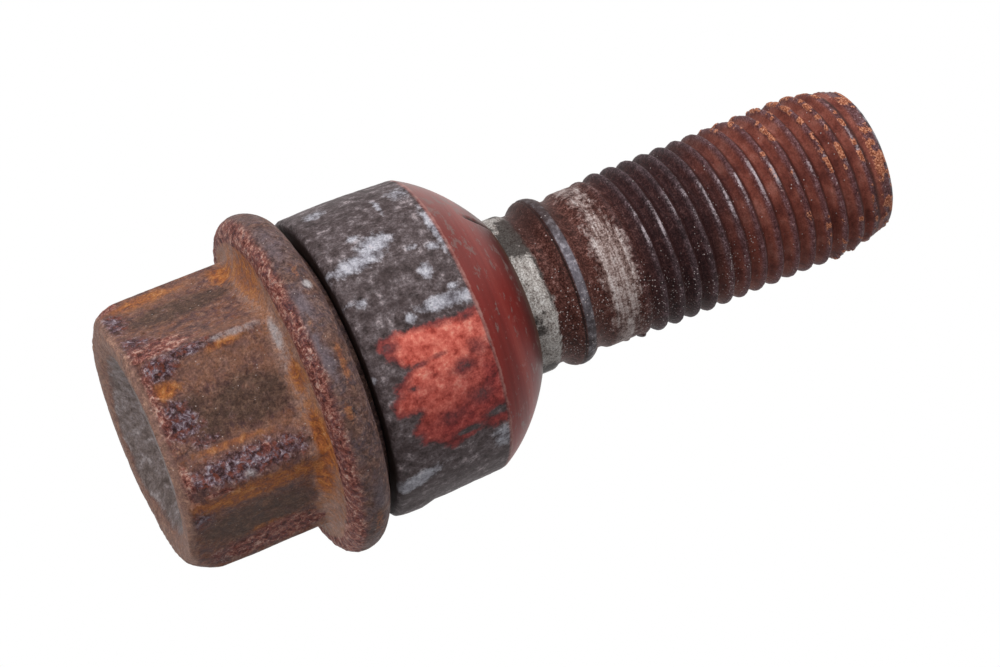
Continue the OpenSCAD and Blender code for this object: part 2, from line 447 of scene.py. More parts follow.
# Patches on the three flats that the picture shows: z, turn, half height, half
# arc, strength. Whole dark scale, pitted ridges, vivid orange, tan and raw red
HEAD_PATCHES = {
    "panel": [
        (7.6, 1.4, 3.7, 1.9, 1.0), (3.6, 6.5, 2.2, 1.2, 0.7), (5.9, 65.6, 4.4, 1.4, 1.0),
        (5.9, -60.0, 4.9, 2.3, 1.0), (4.6, -4.0, 1.6, 1.2, 0.8),
    ],
    "pitted": [
        (5.6, -23.5, 5.2, 1.0, 1.0), (2.1, 26.7, 1.4, 0.9, 1.0), (1.9, 3.9, 1.6, 1.5, 1.0),
        (4.7, 29.5, 2.7, 0.5, 0.8), (0.9, 73.9, 1.2, 2.0, 0.8), (3.2, -81.2, 1.8, 0.9, 0.6),
        (1.2, -42.0, 1.0, 1.6, 0.8), (1.6, 47.0, 1.6, 1.4, 0.7), (3.4, -9.0, 1.2, 0.6, 0.6),
    ],
    "orange": [
        (6.2, -36.5, 5.6, 1.0, 1.0), (11.2, -44.5, 0.6, 2.4, 1.0), (1.9, 17.7, 1.2, 0.6, 0.9),
        (4.0, 84.0, 3.2, 0.7, 0.7), (10.7, 79.0, 1.0, 1.5, 0.9), (11.6, -26.3, 0.5, 3.0, 1.0),
        (11.5, 3.0, 0.4, 1.6, 0.8), (11.6, 58.0, 0.7, 3.2, 0.7), (7.3, 27.0, 1.4, 0.35, 0.7),
        (6.6, -71.0, 2.0, 0.5, 0.6), (5.0, -13.8, 3.0, 0.3, 0.6),
    ],
    "tan": [
        (8.5, 33.5, 3.4, 0.6, 0.9), (6.4, 21.0, 3.8, 1.2, 0.8), (10.4, 13.0, 0.9, 2.4, 0.9),
        (6.2, -13.5, 4.4, 0.5, 0.8), (4.4, 82.0, 4.0, 1.2, 0.9), (3.0, 53.0, 2.4, 0.8, 0.6),
    ],
    "raw": [
        (0.9, 12.0, 0.45, 3.6, 0.7), (0.9, -24.0, 0.45, 1.6, 0.7), (2.6, 40.5, 2.6, 0.8, 0.7),
        (2.9, 35.7, 2.7, 0.7, 1.0), (7.5, -20.7, 0.4, 0.35, 1.0), (7.4, -74.0, 2.4, 0.6, 0.8),
        (3.0, -30.5, 1.2, 0.3, 0.7), (1.2, 88.0, 1.4, 0.8, 0.8), (7.2, -80.5, 5.0, 1.1, 1.0),
    ],
}

# Lilac stains and orange flecks on the flange's rim, laid out in the same way
RIM_LILAC = [
    (12.9, 8.1, 0.6, 2.2, 1.0), (13.3, 21.2, 0.7, 1.5, 0.8), (13.5, 1.8, 0.6, 1.4, 0.9),
    (13.6, 48.0, 0.8, 2.4, 0.5), (13.2, -120.0, 0.7, 2.0, 0.9), (13.4, 140.0, 0.7, 2.4, 0.9),
    (14.2, -48.0, 0.6, 1.8, 0.6), (13.0, 95.0, 0.5, 1.6, 0.8),
]

RIM_ORANGE = [
    (14.5, 0.5, 0.3, 1.6, 0.8), (13.3, 15.5, 0.25, 0.9, 0.7), (13.6, -14.6, 0.35, 0.7, 0.8),
    (14.2, 34.0, 0.3, 0.8, 0.5), (14.1, -60.0, 0.4, 1.4, 0.6), (13.9, -150.0, 0.4, 1.5, 0.9),
    (14.2, 110.0, 0.35, 1.3, 0.9), (13.5, 170.0, 0.4, 1.2, 0.8),
]


def shank_radius(z):
    """Profile of the plain shank: the lower of the shank and the grooves' circles,
    then the higher of that and the bead's circle, with a fold at the bead's foot."""
    from_groove = np.abs(np.abs(z - BEAD_Z) - GROOVE_OFFSET)
    groove = GROOVE + GROOVE_R - np.sqrt(np.maximum(GROOVE_R ** 2 - from_groove ** 2, 0))
    cut = soft_min(groove, SHANK, 0.08)
    bead = BEAD - BEAD_R + np.sqrt(np.maximum(BEAD_R ** 2 - (z - BEAD_Z) ** 2, 0))
    profile = np.where(np.abs(z - BEAD_Z) < BEAD_R, soft_max(cut, bead, 0.06), cut)
    return profile - 0.13 * np.exp(-((z - FOLD_Z) / 0.08) ** 2)


def thread_radius(z, angle):
    """Rolled 60 degree thread, worn: the distance to the nearest crest gives a V
    whose top and bottom are rounded. A crest lies at CREST_AT for turn 90 and
    climbs one pitch a turn. The turns fade into the shank over the run-out.
    Returns the radius, the depth from crest to root from 0 to 1, the painted shade on the flank of each crest
    that faces the tip, and how far the turns have grown."""
    turns = (z - CREST_AT) / PITCH - (angle - np.pi) / (2 * np.pi)
    away = np.abs(turns - np.round(turns)) * PITCH
    past = np.maximum(away - 0.05, 0)
    drop = math.sqrt(3) * (np.sqrt(past ** 2 + 0.08 ** 2) - 0.08)
    drop = soft_min(drop, CREST - ROOT, 0.55)
    grown = smooth(RUNOUT_FROM, RUNOUT_TO, CREST_AT + turns * PITCH)
    # Painted shade: the flank of each crest that faces the tip
    side = (turns - np.round(turns)) * PITCH
    tip_side_shade = smooth(0.05, 0.2, side) * smooth(0.62, 0.36, side)
    return SHANK + (CREST - drop - SHANK) * grown, drop / (CREST - ROOT), tip_side_shade * grown, grown


def tip_radius(z):
    """Envelope of the narrowing tip: a smooth curve through its measured radii."""
    heights = np.array([58.0, 59.5, 61.0, 62.0, 62.8, 63.5, 64.0, 64.25, 64.4])
    radii = np.array([7.3, 7.02, 6.74, 6.56, 6.36, 6.14, 5.94, 5.75, 5.45])
    return np.interp(z, heights, radii)


def shank_band():
    """The shank, bead, thread and tip as one grid with half the head's columns.
    The tip's envelope is laid over the thread, and its end is a rounded edge and
    a flat. Returns the points and the marks of each region."""
    angle = (2 * np.pi * np.arange(SHANK_COLUMNS) / SHANK_COLUMNS)[None]
    rows = np.concatenate([
        [17.9, 22.0, 26.0, 29.5], np.arange(30.6, 34.95, 0.15), np.arange(35.0, 36.0, 0.06),
        np.arange(36.05, 38.9, 0.14), np.arange(38.95, TIP_TO, 0.107),
    ])[:, None]
    thread, depth, tip_side_shade, grown = thread_radius(rows, angle)
    radius = np.where(rows < RUNOUT_FROM, shank_radius(rows), thread)
    blend = smooth(TIP_FROM, TIP_TO, rows)
    radius = radius + (CREST - 0.5 - radius) * blend
    radius = soft_min(radius, tip_radius(rows), 0.2)
    cap = np.concatenate([
        arc_line(5.3, TIP_Z - TIP_ROUND, TIP_ROUND, 40, 90, 7),
        straight((4.9, TIP_Z), (0.5, TIP_Z), 9),
    ])
    points = np.concatenate([turned(radius, rows, angle), turned(cap[:, :1], cap[:, 1:], angle)])

    threaded = rows > RUNOUT_FROM
    on_cap = np.zeros((len(cap), SHANK_COLUMNS))
    depth = np.concatenate([depth * threaded * (1 - blend), on_cap])
    tip_side_shade = np.concatenate([tip_side_shade * threaded * (1 - blend), on_cap])
    grown = np.concatenate([grown * threaded, on_cap + 1])
    marks = shank_marks(points, angle, depth, tip_side_shade, grown)

    relief = 0.012 * layered(points, 0.6, 53) + 0.03 * lumps(points, 1.6, 59) * grown
    coarse = 0.13 * marks["crumbs"] + 0.02 * lumps(points, 0.3, 61) * grown
    relief = relief + coarse * (1 - marks["tip_rim"])
    points = points + outward(points) * relief[..., None]
    points[..., 2] = np.minimum(points[..., 2], TIP_Z)
    return points, marks


def shank_marks(points, angle, depth, tip_side_shade, grown):
    """Where each finish lies on the shank, and where light and shade are painted on it, from 0 to 1 at each
    point.
    """
    z, radius = points[..., 2], np.hypot(points[..., 0], points[..., 1])
    turn = turn_of(angle) + 0 * z
    wander = lumps(points, 1.1, 31) * 0.6 + lumps(points, 0.45, 37) * 0.4
    wide = lumps(points, 3.0, 41)

    marks = {"root": depth, "threaded": grown, "tip_side_shade": tip_side_shade}
    marks["stain"] = patches(z, turn, radius, SHANK_STAINS)
    first_land = field(np.abs(z - FIRST_LAND) - 1.55 + 0.2 * wander, 0.35)
    second_land = field(np.abs(z - SECOND_LAND) - 1.1 - 0.25 * wide - 0.2 * wander, 0.8)
    brightest = smooth(45, 10, np.abs(turn + 12)) * smooth(-2.0, -0.4, wide)
    second_land = second_land * (0.66 - 0.16 * smooth(10, 40, turn) + 0.34 * brightest)
    marks["bare"] = np.maximum(first_land, second_land)
    marks["ringed"] = smooth(36.5, 37.5, z)
    from_bead = z - BEAD_Z
    marks["bead"] = smooth(-0.22, -0.16, from_bead) * smooth(0.62, 0.55, from_bead)
    # Painted highlight on the bead's steel ring, on the side that faces the camera
    marks["bead_highlight"] = np.exp(-((turn - 4 - 6 * wide) / 30) ** 2)
    # Painted shadow: a dark line in the fold, a little before it
    marks["fold"] = np.exp(-((z - FOLD_Z + 0.06) / 0.12) ** 2)
    # Darker on the upper side, round the bead and its grooves
    upper_dark_band = smooth(18, 44, turn + 6 * wide) * smooth(118, 92, turn)
    marks["upper_dark_band"] = upper_dark_band * field(np.abs(z - 35.2) - 2.1, 0.5)
    # Painted highlight: a bright glint on the crests where the light falls on them
    crest_glint = np.exp(-((turn - 12 - 9 * wide) / 15) ** 2) * (1 - smooth(0.02, 0.14, depth))
    crest_glint = crest_glint * smooth(40.5, 42.5, z) * smooth(63.0, TIP_FROM - 0.2, z)
    crest_glint = crest_glint * (0.75 + 0.4 * lumps(points, 1.5, 67))
    marks["crest_glint"] = crest_glint * smooth(-0.5, 0.2, wander)
    marks["redden"] = smooth(46.5, 53.5, z + 0.9 * wander + 1.2 * wide - 0.012 * turn)
    # Rust crumbs stand on the crests towards the tip, and round its rim
    crumbs = smooth(0.0, 0.35, layered(points, 0.55, 43) + 0.6 * lumps(points, 1.9, 47))
    where = smooth(52.5, 57.0, z + 0.03 * turn + 1.5 * wide)
    where = where * (1 - smooth(0.1, 0.5, depth)) * (1 - 0.7 * tip_side_shade)
    where = np.maximum(where, 0.7 * smooth(62.7, 63.1, z) * smooth(64.15, 63.9, z))
    marks["crumbs"] = np.clip(crumbs * where, 0, 1)
    marks["tip_rim"] = smooth(63.95, 64.15, z)
    # Painted glints: bright specks on the lower side, most densely beside the bead
    low = smooth(-4, -34, turn) * smooth(-105, -75, turn) * smooth(33.4, 34.0, z) * smooth(57, 46, z)
    dense = smooth(-14, -32, turn) * smooth(-80, -62, turn)
    dense = dense * smooth(33.3, 33.8, z) * smooth(35.6, 35.2, z)
    loose = 0.04 + 0.85 * dense + 1.3 * low * smooth(-0.4, 0.7, wide + 1.3 * wander)
    marks["sparkle"] = np.clip(loose, 0, 1)
    return marks


# Dark stains on the first land: z, turn, half height, half arc, strength
SHANK_STAINS = [
    (32.9, 38.0, 1.5, 1.6, 1.3), (33.1, 52.0, 1.0, 1.6, 1.2), (31.3, 58.0, 0.7, 0.6, 0.7),
    (31.6, 30.0, 0.6, 0.6, 0.9), (31.9, -22.0, 0.5, 0.5, 0.75), (32.6, -19.0, 0.3, 0.3, 0.7),
    (32.0, -31.0, 0.8, 0.5, 0.75), (33.5, 5.0, 0.25, 2.8, 0.6), (32.3, -74.0, 1.2, 1.2, 0.75),
    (33.3, 80.0, 0.8, 0.8, 0.7), (32.4, 122.0, 1.2, 1.6, 0.9), (33.0, 168.0, 0.9, 1.4, 0.9),
    (32.2, -128.0, 1.0, 1.3, 0.85),
]


def make_bolt():
    """Joins the head's grid to the shank's, hidden under the collar."""
    bands = [head_band(), shank_band()]
    marks = {}
    for key in [key for points, own in bands for key in own]:
        marks[key] = np.concatenate([
            (own.get(key, 0) + np.zeros(points.shape[:2])).ravel() for points, own in bands])
    return skin("bolt_worn", [points for points, own in bands], marks)


# The collar
COLLAR_COLUMNS = 400

# White rubbed smears on the cylinder: z, turn, half height, half arc, strength, lean
COLLAR_SMEARS = [
    (19.1, 32.5, 2.2, 0.7, 1.0, 0.12), (21.0, 37.3, 1.4, 0.85, 1.0, 0.15),
    (16.9, 32.0, 0.8, 0.35, 0.8), (18.6, 67.8, 0.9, 0.8, 0.8, 0.1),
    (23.1, 55.8, 0.22, 1.1, 0.7, 0.3), (19.8, 43.6, 0.45, 0.32, 0.8),
    (17.9, 17.5, 0.42, 0.4, 0.75), (16.8, 18.3, 0.55, 0.28, 0.5), (20.9, 5.2, 0.52, 0.46, 1.0),
    (23.6, 20.1, 0.55, 0.66, 0.85), (25.1, 28.0, 0.5, 0.38, 0.8), (25.9, 36.0, 0.4, 2.3, 0.9),
    (25.0, 11.2, 0.45, 0.33, 0.7), (24.0, 7.2, 2.1, 0.6, 1.0), (25.7, 6.4, 0.5, 0.6, 0.95),
    (17.9, -57.2, 1.9, 0.8, 1.15, 0.35), (25.5, -52.0, 0.8, 1.2, 0.75, -0.2),
    (19.7, -31.7, 0.32, 0.28, 0.8), (16.6, -9.9, 0.2, 0.35, 0.6), (25.3, 60.7, 1.0, 0.9, 0.6),
    (23.6, 30.7, 0.55, 0.3, 0.5), (20.2, 118.0, 1.9, 0.8, 0.9, -0.2),
    (24.4, 96.0, 0.9, 1.4, 0.7, 0.1), (18.2, 152.0, 1.0, 0.5, 0.8),
    (22.9, -168.0, 1.6, 0.6, 0.9, 0.25), (25.7, -140.0, 0.4, 2.1, 0.8),
    (19.6, -112.0, 1.3, 0.7, 0.7, 0.1), (24.9, -92.0, 0.6, 0.6, 0.7), (17.4, 92.0, 0.7, 0.4, 0.6),
]

# Edge of the red paint on the cylinder: z and turn
PAINT_EDGE = [
    (17.4, 1.3), (18.2, 2.9), (20.4, 3.1), (22.6, 2.1), (24.0, 1.4), (25.4, 1.8), (28.0, 3.8),
    (28.0, -44.5), (25.0, -45.2), (23.5, -43.4), (22.0, -45.6), (21.1, -46.2), (20.2, -41.7),
    (18.8, -39.5), (18.4, -33.6), (19.1, -27.2), (17.4, -25.4), (17.2, -21.2), (17.9, -18.7),
    (17.7, -14.7), (18.7, -13.1), (19.6, -10.7), (18.7, -8.4), (18.0, -4.5),
]

# Places where the paint is thin or has come off: z, turn, half height, half arc, strength
PAINT_CHIPS = [
    (20.1, -10.3, 0.8, 0.2, 0.65), (22.1, -9.5, 0.8, 0.22, 0.55), (23.5, -16.3, 0.9, 0.6, 0.55),
    (25.3, -38.5, 1.2, 0.5, 0.8), (22.9, -41.5, 1.5, 0.4, 0.8), (19.2, -17.5, 0.4, 0.25, 0.6),
    (18.6, -36.5, 0.7, 0.5, 0.7), (24.2, -29.0, 1.0, 0.7, 0.55), (25.2, -12.0, 0.8, 0.8, 0.35),
    (21.5, -33.0, 1.4, 0.5, 0.4), (18.3, -1.0, 0.9, 0.5, 0.6), (25.2, 0.0, 0.8, 0.4, 0.5),
]


def collar_profile():
    """The collar's section as one closed line: bevel, cylinder, rounded corner,
    ball, small end, bore and countersink. Returns its points, and for each point
    whether it lies on the outside."""
    corner = np.degrees(np.arctan2(CORNER_Z - BALL_Z, CORNER))
    nose = np.degrees(np.arctan2(NOSE_Z - BALL_Z, NOSE))
    outer = np.concatenate([
        straight((COLLAR - COLLAR_BEVEL, COLLAR_Z), (COLLAR, COLLAR_Z + COLLAR_BEVEL), 4),
        straight((COLLAR, COLLAR_Z + 0.6), (COLLAR, CORNER_Z - 0.2), 52),
        arc_line(0, BALL_Z, BALL_R, corner + 0.5, nose - 1.0, 42),
        arc_line(NOSE - NOSE_ROUND, NOSE_Z - NOSE_ROUND, NOSE_ROUND, 50, 90, 4),
    ])
    sink_z = COLLAR_Z + COUNTERSINK
    inner = np.concatenate([
        arc_line(BORE + BORE_ROUND, NOSE_Z - BORE_ROUND, BORE_ROUND, 90, 180, 4),
        straight((BORE, NOSE_Z - 0.6), (BORE, sink_z), 12),
        straight((BORE + 0.4, sink_z - 0.4), (BORE + COUNTERSINK, COLLAR_Z), 3),
        straight((BORE + COUNTERSINK + 0.8, COLLAR_Z), (COLLAR - COLLAR_BEVEL - 0.5, COLLAR_Z), 4),
    ])
    line = np.concatenate([outer, inner])
    # The outside ends one point before the top of the small end
    return line, np.arange(len(line)) < len(outer) - 1


def make_collar():
    """Turns the section round the axis, swells the cylinder by a half sine towards
    its rear, and lays scale, the paint's thickness and the nick on it."""
    angle = (2 * np.pi * np.arange(COLLAR_COLUMNS) / COLLAR_COLUMNS)[None]
    line, outside = collar_profile()
    outside = outside[:, None]
    radius, z = line[:, :1] + 0 * angle, line[:, 1:] + 0 * angle
    turn = turn_of(angle) + 0 * z
    wall = (radius > COLLAR - 0.01) & (z < CORNER_Z)
    swell = COLLAR_SWELL * np.sin(np.pi * np.clip((z - COLLAR_Z) / 7.0, 0, 1))
    radius = radius + np.where(wall, swell - (COLLAR - CORNER) * smooth(23.5, 26, z), 0)
    radius = radius - np.where(radius > BORE + 0.1, BALL_WEAR * smooth(27.0, 31.2, z), 0)
    points = turned(radius, z, angle)
    marks = collar_marks(points, turn, outside)

    bare = marks["ball"] == 0
    relief = (0.02 * layered(points, 1.1, 83) + 0.012 * lumps(points, 0.35, 89)) * bare
    relief = relief + 0.03 * marks["smear"] * lumps(points, 0.5, 97)
    relief = relief + 0.035 * marks["paint"] * (1 + lumps(points, 0.6, 101)) - 0.2 * marks["notch"]
    # Scale stands up on the rear edge, low on the near side
    relief = relief + 0.28 * spot(z, np.radians(turn + 86) * COLLAR, 18.0, 0, 1.4, 2.2, 0, 0.6)
    points = points + outward(points) * np.where(outside, relief, 0)[..., None]
    points[..., 2] = np.clip(points[..., 2], COLLAR_Z, NOSE_Z)
    marks = {key: np.ravel(values + 0.0 * z) for key, values in marks.items()}
    return skin("seat_collar_worn", [points], marks, ring=True)


def collar_marks(points, turn, outside):
    """Where paint, smears and wear lie on the collar, and where a highlight and a sheen are painted on it,
    from 0 to 1 at each point.
    """
    z = points[..., 2]
    arc = np.radians(turn) * COLLAR
    wander = lumps(points, 0.9, 71) * 0.6 + lumps(points, 0.38, 73) * 0.4
    ball = (z > CORNER_Z - 0.05) & outside

    outline = [(height, math.radians(place) * COLLAR) for height, place in PAINT_EDGE]
    roughness = 0.3 * smooth(21.5, 18.5, z) + 0.1 + 0.25 * smooth(-30, -42, turn)
    paint = field(-inside(z, arc, outline) - 0.6 * roughness * wander, 0.8)
    paint = np.minimum(paint, 1 - 0.85 * patches(z, turn, COLLAR, PAINT_CHIPS, 0.8))
    # What is left of the paint away from the picture
    far = field(1.1 - 2.2 * lumps(points, 2.6, 79) - 0.4 * wander, 0.8)
    far = far * smooth(75, 95, np.abs(turn)) * smooth(19, 24, z + wander)
    paint = np.clip(np.maximum(paint, far), 0, 1) * (z <= CORNER_Z) * outside
    smear = patches(z, turn, COLLAR, COLLAR_SMEARS, 0.75)
    smear = smear * (z <= CORNER_Z + 0.1) * (1 - paint)
    # Painted highlight on the cylinder's paint, round the side that faces the camera
    paint_highlight = np.maximum(spot(z, arc, 21.8, math.radians(-7) * COLLAR, 4.4, 3.1, 0, 0.5),
                      0.6 * spot(z, arc, 20.6, math.radians(-20) * COLLAR, 3.6, 2.2, 0, 0.6))
    # Painted sheen: the ball's paint lighter and pinker on its upper side, towards the light
    sheen_side = (0.3 * smooth(0, 25, turn) + 0.8 * smooth(25, 66, turn)) * smooth(150, 100, turn)
    return {
        "paint": paint, "smear": smear, "paint_highlight": paint_highlight, "sheen_side": sheen_side * ball, "ball": ball.astype(float),
        "edge": np.exp(-((z - CORNER_Z) / 0.16) ** 2) * outside,
        "inner": smooth(29.2, 31.4, z) * outside,
        "nose_edge": smooth(30.9, 31.3, z + 0.15 * wander),
        "bore": 1.0 - outside,
        "notch": spot(z, np.radians(turn - 47) * 9, 30.2, 0, 0.9, 0.25, 0.2, 0.5) * ball,
    }


# Materials
def linear(code):
    """An sRGB hex colour such as 8a5a2e as linear light, with an alpha of 1."""
    values = [int(code[i:i + 2], 16) / 255 for i in (0, 2, 4)]
    return (*[v / 12.92 if v <= 0.04045 else ((v + 0.055) / 1.055) ** 2.4 for v in values], 1.0)


def add(tree, kind, inputs=None, out=0, stops=None, **settings):
    """Adds one shader node with its settings, fills its inputs and returns one
    of its outputs, or None. An input that is a socket is linked, and any other is set.
    Stops are the places and hex colours of a ramp, its two ends first."""
    node = tree.nodes.new(kind)
    for name, value in settings.items():
        setattr(node, name, value)
    for number, (place, code) in enumerate(stops or []):
        ramp = node.color_ramp.elements
        element = ramp[number] if number < 2 else ramp.new(place)
        element.position = place
        element.color = linear(code)
    for key, value in (inputs or {}).items():
        if isinstance(value, bpy.types.NodeSocket):
            tree.links.new(value, node.inputs[key])
        else:
            node.inputs[key].default_value = value
    return None if out is None else node.outputs[out]


def empty_tree(owner):
    """The node tree of a new material or world, cleared."""
    owner.use_nodes = True
    owner.node_tree.nodes.clear()
    return owner.node_tree


def start_steel(name):
    """A new material with an empty tree, and the place on the object in mm."""
    material = bpy.data.materials.new(name)
    tree = empty_tree(material)
    place = add(tree, "ShaderNodeTexCoord", out="Object")
    place = add(tree, "ShaderNodeMapping", {"Vector": place, "Scale": (1 / MM, 1 / MM, 1 / MM)})
    return material, tree, place


def finish_steel(tree, colour, roughness, gloss, relief, strength, depth):
    """Joins a finished colour to the surface, with the relief as bumps of this
    strength and of this depth in mm."""
    normal = add(tree, "ShaderNodeBump", {
        "Height": relief, "Strength": strength, "Distance": depth * MM})
    shader = add(tree, "ShaderNodeBsdfPrincipled", {
        "Base Color": colour, "Roughness": roughness, "Specular IOR Level": gloss, "Normal": normal})
    add(tree, "ShaderNodeOutputMaterial", {"Surface": shader}, out=None)


def read_marks(tree, *keys):
    """The piece's own marks, by name, as sockets."""
    return {key: add(tree, "ShaderNodeAttribute", attribute_name=key, out="Fac") for key in keys}


def ragged(tree, mark, noise, bite, width, most=1.0):
    """A mark cut to a ragged edge: the mark plus this much of a noise, with the
    step between this width below and above the half-way level. Its height is most."""
    total = add(tree, "ShaderNodeMath", {0: noise, 1: bite, 2: mark}, operation="MULTIPLY_ADD")
    middle = 0.5 + 0.5 * bite
    return add(tree, "ShaderNodeMapRange", {
        "Value": total, "From Min": middle - width, "From Max": middle + width, "To Max": most})


def lay_coats(tree, ramps, coats):
    """Works out the tones of a material, by name. The first ones are ramps, each a
    noise and its stops. Then each coat makes a tone: it names the result, the tone
    below, the tone on top and the share of the top. A tone that has no such name
    is a hex colour."""
    tones = {name: add(tree, "ShaderNodeValToRGB", {"Fac": noise}, stops=stops)
             for name, (noise, stops) in ramps.items()}
    for name, below, top, share in coats:
        below, top = [tones[tone] if tone in tones else linear(tone) for tone in (below, top)]
        tones[name] = add(tree, "ShaderNodeMix", {0: share, 6: below, 7: top}, data_type="RGBA", out=2)
    return tones


def add_sparkle(tree, place, colour, spacing, share, code):
    """Painted glints on a colour: a bright speck in some of the cells of this spacing in mm, about a third of
    it wide. The share of cells that have one may be a socket."""
    glint_cells = tree.nodes.new("ShaderNodeTexVoronoi")
    tree.links.new(place, glint_cells.inputs["Vector"])
    glint_cells.inputs["Scale"].default_value = 1 / spacing
    chance = add(tree, "ShaderNodeSeparateColor", {"Color": glint_cells.outputs["Color"]})
    chance = add(tree, "ShaderNodeMath", {0: chance, 1: share}, operation="LESS_THAN")
    core = add(tree, "ShaderNodeMapRange", {
        "Value": glint_cells.outputs["Distance"], "From Min": 0.27, "From Max": 0.1, "To Max": 0.85})
    core = add(tree, "ShaderNodeMath", {0: core, 1: chance}, operation="MULTIPLY")
    return add(tree, "ShaderNodeMix", {0: core, 6: colour, 7: linear(code)}, data_type="RGBA", out=2)


def add_grain(tree, colour, grain, strength):
    """Lightens and darkens a colour by a fine noise; the strength may be a socket."""
    shading = add(tree, "ShaderNodeMapRange", {
        "Value": grain, "From Min": 0.28, "From Max": 0.72, "To Min": 0.15, "To Max": 0.85})
    return add(tree, "ShaderNodeMix", {0: strength, 6: colour, 7: shading},
               data_type="RGBA", blend_type="OVERLAY", out=2)


def forged_rusted():
    """Hot-forged steel, rusted through its scale: dull, dark and smooth where the
    scale is whole, orange-brown where rust has run, and mauve-brown and pitted
    where it has flaked, with lilac glints of bare steel in the pits."""
    material, tree, place = start_steel("forged_steel_rusted")
    # Sizes are in mm. The scale's flakes and pits are 0.2 to 0.5 mm wide. Rust
    # grain is about 0.05 mm; it is drawn at 0.16 mm so that it shows
    clouds, blots, flakes, grain = [
        add(tree, "ShaderNodeTexNoise", {
            "Vector": place, "Scale": 1 / size, "Detail": detail, "Roughness": roughness, "Distortion": bend})
        for size, detail, roughness, bend in (
            (2.2, 4.0, 0.62, 0.5), (0.8, 5.0, 0.7, 0.4), (0.5, 4.0, 0.78, 0.5), (0.16, 2.0, 0.6, 0.0))]
    # Specks of another hue among the flakes, laid out by a noise of their own
    specks = add(tree, "ShaderNodeTexNoise", {
        "Vector": place, "W": 3.7, "Scale": 1 / 0.6, "Detail": 4.0, "Roughness": 0.72}, noise_dimensions="4D")
    specks = add(tree, "ShaderNodeMapRange", {"Value": specks, "From Min": 0.5, "From Max": 0.58})
    # Brown and dark blots in the rust, and rust that has run into the fillet
    brown, dark, run = [
        add(tree, "ShaderNodeMapRange", {"Value": blots, "From Min": low, "From Max": high, "To Max": most})
        for low, high, most in ((0.5, 0.62, 0.6), (0.47, 0.38, 0.55), (0.48, 0.58, 0.45))]
    marks = read_marks(tree, "panel", "pitted", "orange", "tan", "hollow", "speckled", "rim", "rim_tint",
                       "dish", "lip", "worn")
    fleck = add(tree, "ShaderNodeMath", {0: marks["rim_tint"], 1: -1.0}, operation="MULTIPLY")
    worn = ragged(tree, marks["worn"], flakes, 3.4, 0.5, 0.85)
    worn = add(tree, "ShaderNodeMath", {0: worn, 1: marks["worn"]}, operation="MULTIPLY")

    tones = lay_coats(tree, {
        "rust": (clouds, [(0.36, "503c3a"), (0.64, "7d5652"), (0.42, "694a46"), (0.47, "7c5447"),
                          (0.52, "694a4b"), (0.57, "8a5c48")]),
        "blotted": (flakes, [(0.38, "3c2826"), (0.64, "b8907c"), (0.45, "60453e"),
                             (0.5, "785850"), (0.56, "96705f")]),
        "orange": (blots, [(0.36, "75452e"), (0.66, "cb9268"), (0.44, "945636"),
                           (0.5, "a9663a"), (0.56, "b87541")]),
        "scale": (blots, [(0.34, "35261e"), (0.66, "68554d"), (0.46, "48362d"), (0.56, "574439")]),
        "pitted": (flakes, [(0.38, "241719"), (0.64, "b3a8b3"), (0.45, "452f34"),
                            (0.5, "5c464e"), (0.56, "796873")]),
        "speckled": (flakes, [(0.38, "4a2421"), (0.64, "deb9ae"), (0.45, "7b3e36"),
                              (0.5, "93534b"), (0.56, "b57a6c")]),
        "rim": (clouds, [(0.34, "3e3230"), (0.66, "6c5247"), (0.43, "524544"), (0.49, "645a5f"),
                         (0.54, "594a48"), (0.6, "60473f")]),
        "dish": (blots, [(0.34, "635652"), (0.66, "b6aaaa"), (0.46, "81736f"), (0.56, "948786")]),
    }, [
        ("purple", "blotted", "66484d", 0.55),
        ("blotted", "blotted", "purple", specks),
        ("rust", "rust", "blotted", 0.55),
        ("rust", "rust", "94603f", brown),
        ("rust", "rust", "4c3436", dark),
        ("bitten", "pitted", "874634", 0.65),
        ("pitted", "pitted", "bitten", specks),
        ("dulled", "speckled", "5e4044", 0.6),
        ("speckled", "speckled", "dulled", specks),
        # The flats: tan rust, whole scale, pits and orange rust
        ("tan", "rust", "8f6855", 0.5),
        ("colour", "rust", "tan", ragged(tree, marks["tan"], blots, 1.6, 0.45)),
        ("panel", "scale", "blotted", 0.25),
        ("colour", "colour", "panel", ragged(tree, marks["panel"], clouds, 1.6, 0.3)),
        ("fillet", "bf9887", "blotted", 0.5),
        ("fillet", "fillet", "orange", run),
        ("colour", "colour", "fillet", ragged(tree, marks["hollow"], clouds, 1.8, 0.35)),
        ("flaked", "rust", "pitted", 0.9),
        ("colour", "colour", "flaked", ragged(tree, marks["pitted"], blots, 3.0, 0.3)),
        ("colour", "colour", "orange", ragged(tree, marks["orange"], blots, 1.0, 0.35)),
        # The flange, with its stained rim
        ("freckled", "blotted", "speckled", 0.7),
        ("colour", "colour", "freckled", ragged(tree, marks["speckled"], blots, 1.4, 0.25)),
        ("stained", "rim", "blotted", 0.5),
        ("stained", "stained", "756b73", ragged(tree, marks["rim_tint"], flakes, 2.6, 0.4, 0.75)),
        ("stained", "stained", "orange", ragged(tree, fleck, flakes, 2.4, 0.3, 0.6)),
        ("colour", "colour", "stained", marks["rim"]),
        # The end, its dish and the rubbed places
        ("lip", "blotted", "b48d7c", 0.4),
        ("colour", "colour", "lip", marks["lip"]),
        ("colour", "colour", "dish", ragged(tree, marks["dish"], blots, 1.2, 0.25)),
        ("colour", "colour", "bdb5b6", worn),
    ])
    colour = add_grain(tree, tones["colour"], grain, 0.5)
    # Painted glints, few, over the head
    colour = add_sparkle(tree, place, colour, 0.24, 0.05, "c9b8b2")

